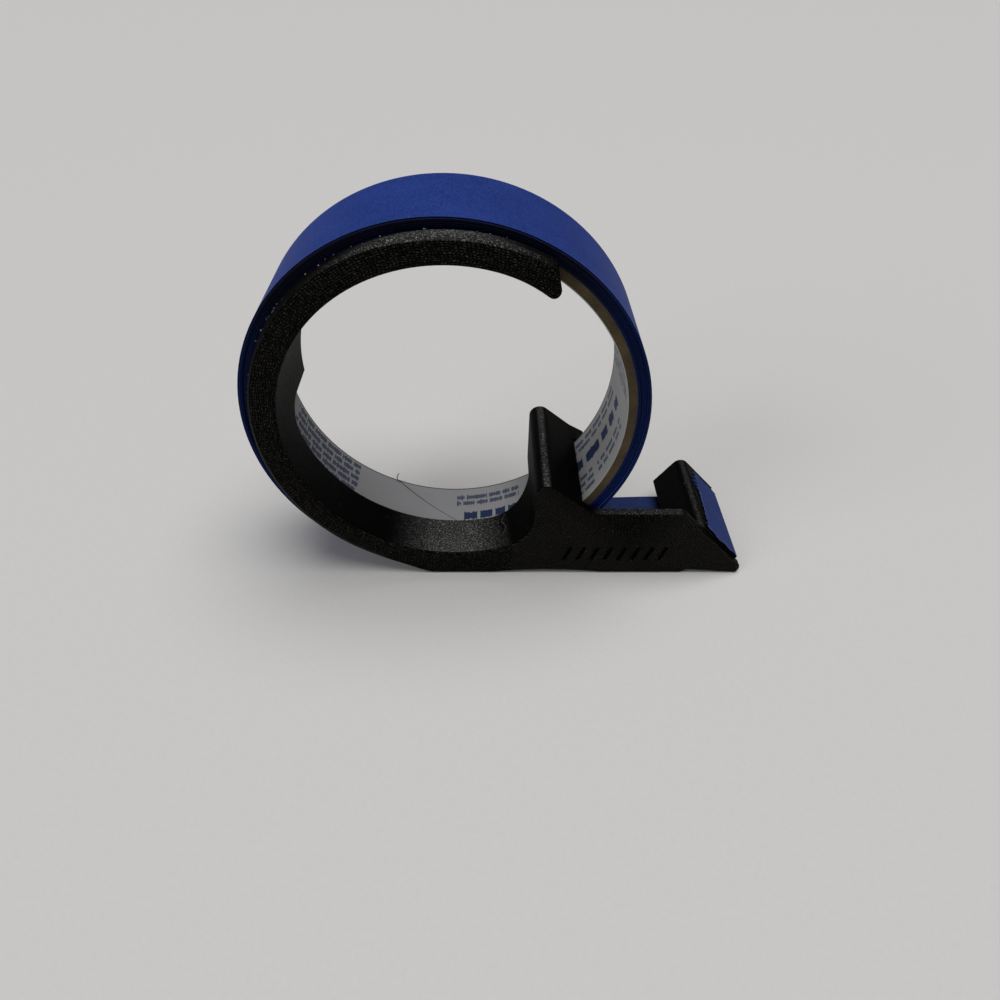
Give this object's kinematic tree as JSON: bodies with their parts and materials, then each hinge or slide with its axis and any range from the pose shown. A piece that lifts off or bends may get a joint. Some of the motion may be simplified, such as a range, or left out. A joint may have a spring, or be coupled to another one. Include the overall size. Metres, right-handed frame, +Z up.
{
  "type": "masking tape dispenser",
  "caption": "Open-ring frame that holds a core of blue masking tape and leads its free end over a toothed nose bar.",
  "frame": {"origin": "under the middle of the part's box, on the surface that it stands on", "axes": "+X along the side wall from the ring to the nose, +Y from the side wall to the open back, +Z up"},
  "size_m": [0.114, 0.0326, 0.0865],
  "materials": {
    "printed_plastic": "black filament, satin, with fine layer lines",
    "cardboard": "plain wound board",
    "liner_paper": "matt paper with blue printed dashes",
    "blue_tape": "crepe paper tape, satin"
  },
  "bodies": {
    "frame": {"frame": "printed_plastic", "tape_lead": "blue_tape"},
    "arm": {"spring_arm": "printed_plastic"},
    "roll": {"core_liner": "liner_paper", "cardboard_core": "cardboard", "tape_winding": "blue_tape"}
  },
  "joints": [
    {"name": "roll_spin", "type": "hinge", "parent": "frame", "child": "roll", "pos_m": [-0.01382, -0.00052, 0.0434], "axis": [0, 1, 0], "continuous": true},
    {"name": "arm_squeeze", "type": "hinge", "parent": "frame", "child": "arm", "pos_m": [-0.04778, -0.00052, 0.03342], "axis": [0, 1, 0], "range_deg": [0, 4], "stiffness_Nm_per_rad": 3}
  ]
}
